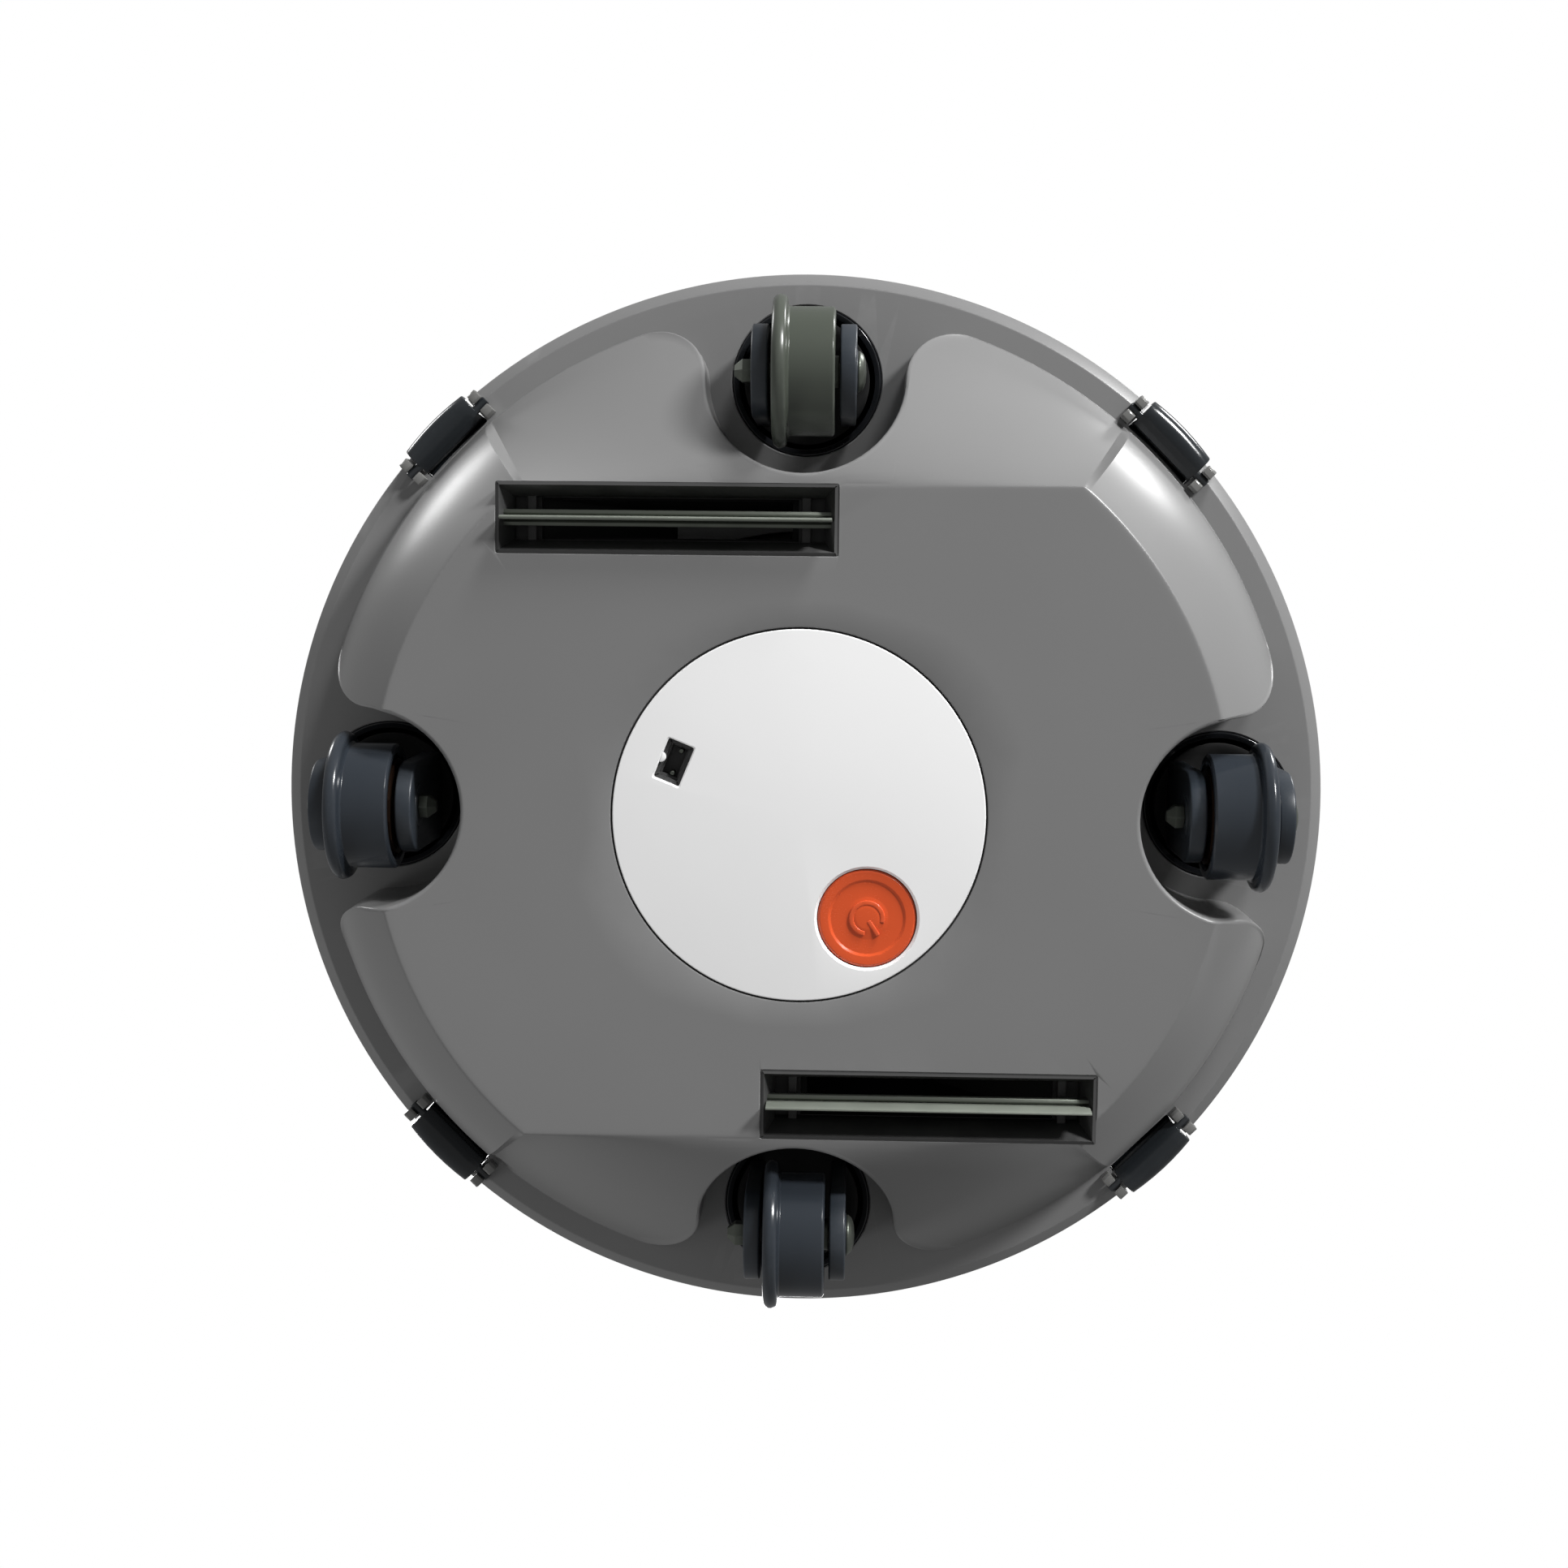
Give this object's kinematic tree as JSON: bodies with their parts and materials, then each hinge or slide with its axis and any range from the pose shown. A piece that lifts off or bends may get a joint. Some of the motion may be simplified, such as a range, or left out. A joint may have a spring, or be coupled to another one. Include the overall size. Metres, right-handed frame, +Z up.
{
  "type": "robot vacuum cleaner",
  "caption": "Round robot vacuum cleaner with flanged wheels in forks, suction slots with wipers, side latches, a power button and a lidded dust bin.",
  "frame": {"origin": "on the floor under the middle of the body", "axes": "+Z up, -Y towards the front caster, +X towards the left drive wheel"},
  "size_m": [0.35, 0.35, 0.0909],
  "materials": {
    "grey_shell": "satin",
    "white_cover": "satin",
    "orange_button": "satin",
    "black_gloss": "gloss",
    "dark_plastic": "satin",
    "wheel_plastic": "semi-gloss",
    "green_grey_metal": "satin",
    "wiper_rubber": "matte",
    "clear_bin": "clear",
    "filter_cloth": "pleated",
    "windings": "lacquered wire",
    "circuit_board": "solder mask",
    "battery_wrap": "shrink wrap"
  },
  "bodies": {
    "body": {"base_plate": "grey_shell", "belly_pan": "grey_shell", "top_shell": "grey_shell", "centre_cover": "white_cover", "power_switch": "black_gloss", "charge_socket": "black_gloss", "charge_pin_front": "green_grey_metal", "charge_pin_rear": "green_grey_metal", "lid_hinge_pin": "green_grey_metal", "dust_bin": "clear_bin", "bin_filter": "filter_cloth", "fan_housing": "dark_plastic", "fan_motor": "green_grey_metal", "battery_pack": "battery_wrap", "main_board": "circuit_board", "wiper_pivot_front": "green_grey_metal", "suction_duct_front": "dark_plastic", "wiper_pivot_rear": "green_grey_metal", "suction_duct_rear": "dark_plastic", "well_cup_front": "black_gloss", "well_cup_rear": "black_gloss", "axle_bolt_right": "green_grey_metal", "axle_nut_right": "green_grey_metal", "well_cup_right": "black_gloss", "fork_right": "dark_plastic", "fork_ring_right": "green_grey_metal", "wheel_bush_right": "green_grey_metal", "axle_bolt_left": "green_grey_metal", "axle_nut_left": "green_grey_metal", "well_cup_left": "black_gloss", "fork_left": "dark_plastic", "fork_ring_left": "green_grey_metal", "wheel_bush_left": "green_grey_metal", "drive_stator_right": "windings", "drive_stator_left": "windings"},
    "button": {"power_button": "orange_button"},
    "lid": {"bin_lid": "grey_shell"},
    "impeller": {"fan_impeller": "dark_plastic"},
    "latch_rear_right": {"latch_rear_right": "dark_plastic"},
    "latch_front_right": {"latch_front_right": "dark_plastic"},
    "latch_front_left": {"latch_front_left": "dark_plastic"},
    "latch_rear_left": {"latch_rear_left": "dark_plastic"},
    "wiper_front": {"wiper_carrier_front": "green_grey_metal", "wiper_blade_front": "wiper_rubber"},
    "caster_front": {"fork_front": "dark_plastic", "fork_ring_front": "green_grey_metal", "axle_bolt_front": "green_grey_metal", "axle_nut_front": "green_grey_metal", "wheel_bush_front": "green_grey_metal"},
    "wiper_rear": {"wiper_carrier_rear": "green_grey_metal", "wiper_blade_rear": "wiper_rubber"},
    "caster_rear": {"fork_rear": "dark_plastic", "fork_ring_rear": "green_grey_metal", "axle_bolt_rear": "green_grey_metal", "axle_nut_rear": "green_grey_metal", "wheel_bush_rear": "green_grey_metal"},
    "wheel_front": {"wheel_front": "wheel_plastic"},
    "wheel_rear": {"wheel_rear": "wheel_plastic"},
    "wheel_right": {"wheel_right": "wheel_plastic"},
    "wheel_left": {"wheel_left": "wheel_plastic"}
  },
  "joints": [
    {"name": "power_button_press", "type": "slide", "parent": "body", "child": "button", "axis": [0, 0, 1], "range_m": [0, 0.0012], "stiffness_N_per_m": 600},
    {"name": "bin_lid_hinge", "type": "hinge", "parent": "body", "child": "lid", "pos_m": [0, 0.1237, 0.08933], "axis": [-1, 0, 0], "range_deg": [0, 85]},
    {"name": "impeller_spin", "type": "hinge", "parent": "body", "child": "impeller", "pos_m": [0.088, 0.076, 0.075], "axis": [0, 0, 1], "continuous": true},
    {"name": "latch_rear_right_hinge", "type": "hinge", "parent": "body", "child": "latch_rear_right", "pos_m": [-0.11978, 0.11978, 0.0584], "axis": [-0.7071, -0.7071, 0], "range_deg": [0, 60]},
    {"name": "latch_front_right_hinge", "type": "hinge", "parent": "body", "child": "latch_front_right", "pos_m": [-0.11978, -0.11978, 0.0584], "axis": [0.7071, -0.7071, 0], "range_deg": [0, 60]},
    {"name": "latch_front_left_hinge", "type": "hinge", "parent": "body", "child": "latch_front_left", "pos_m": [0.11978, -0.11978, 0.0584], "axis": [0.7071, 0.7071, 0], "range_deg": [0, 60]},
    {"name": "latch_rear_left_hinge", "type": "hinge", "parent": "body", "child": "latch_rear_left", "pos_m": [0.11978, 0.11978, 0.0584], "axis": [-0.7071, 0.7071, 0], "range_deg": [0, 60]},
    {"name": "wiper_front_rock", "type": "hinge", "parent": "body", "child": "wiper_front", "pos_m": [-0.0423, -0.09293, 0.0176], "axis": [1, 0, 0], "range_deg": [-10, 10]},
    {"name": "caster_front_swivel", "type": "hinge", "parent": "body", "child": "caster_front", "pos_m": [0, -0.13977, 0.085], "axis": [0, 0, 1], "continuous": true},
    {"name": "wheel_front_spin", "type": "hinge", "parent": "caster_front", "child": "wheel_front", "pos_m": [0, -0.13977, 0.0242], "axis": [1, 0, 0], "continuous": true},
    {"name": "wiper_rear_rock", "type": "hinge", "parent": "body", "child": "wiper_rear", "pos_m": [0.0423, 0.09293, 0.0176], "axis": [1, 0, 0], "range_deg": [-10, 10]},
    {"name": "caster_rear_swivel", "type": "hinge", "parent": "body", "child": "caster_rear", "pos_m": [0, 0.13977, 0.085], "axis": [0, 0, 1], "continuous": true},
    {"name": "wheel_rear_spin", "type": "hinge", "parent": "caster_rear", "child": "wheel_rear", "pos_m": [0, 0.13977, 0.0242], "axis": [1, 0, 0], "continuous": true},
    {"name": "wheel_right_spin", "type": "hinge", "parent": "body", "child": "wheel_right", "pos_m": [-0.13977, 0, 0.0242], "axis": [1, 0, 0], "continuous": true},
    {"name": "wheel_left_spin", "type": "hinge", "parent": "body", "child": "wheel_left", "pos_m": [0.13977, 0, 0.0242], "axis": [1, 0, 0], "continuous": true}
  ]
}
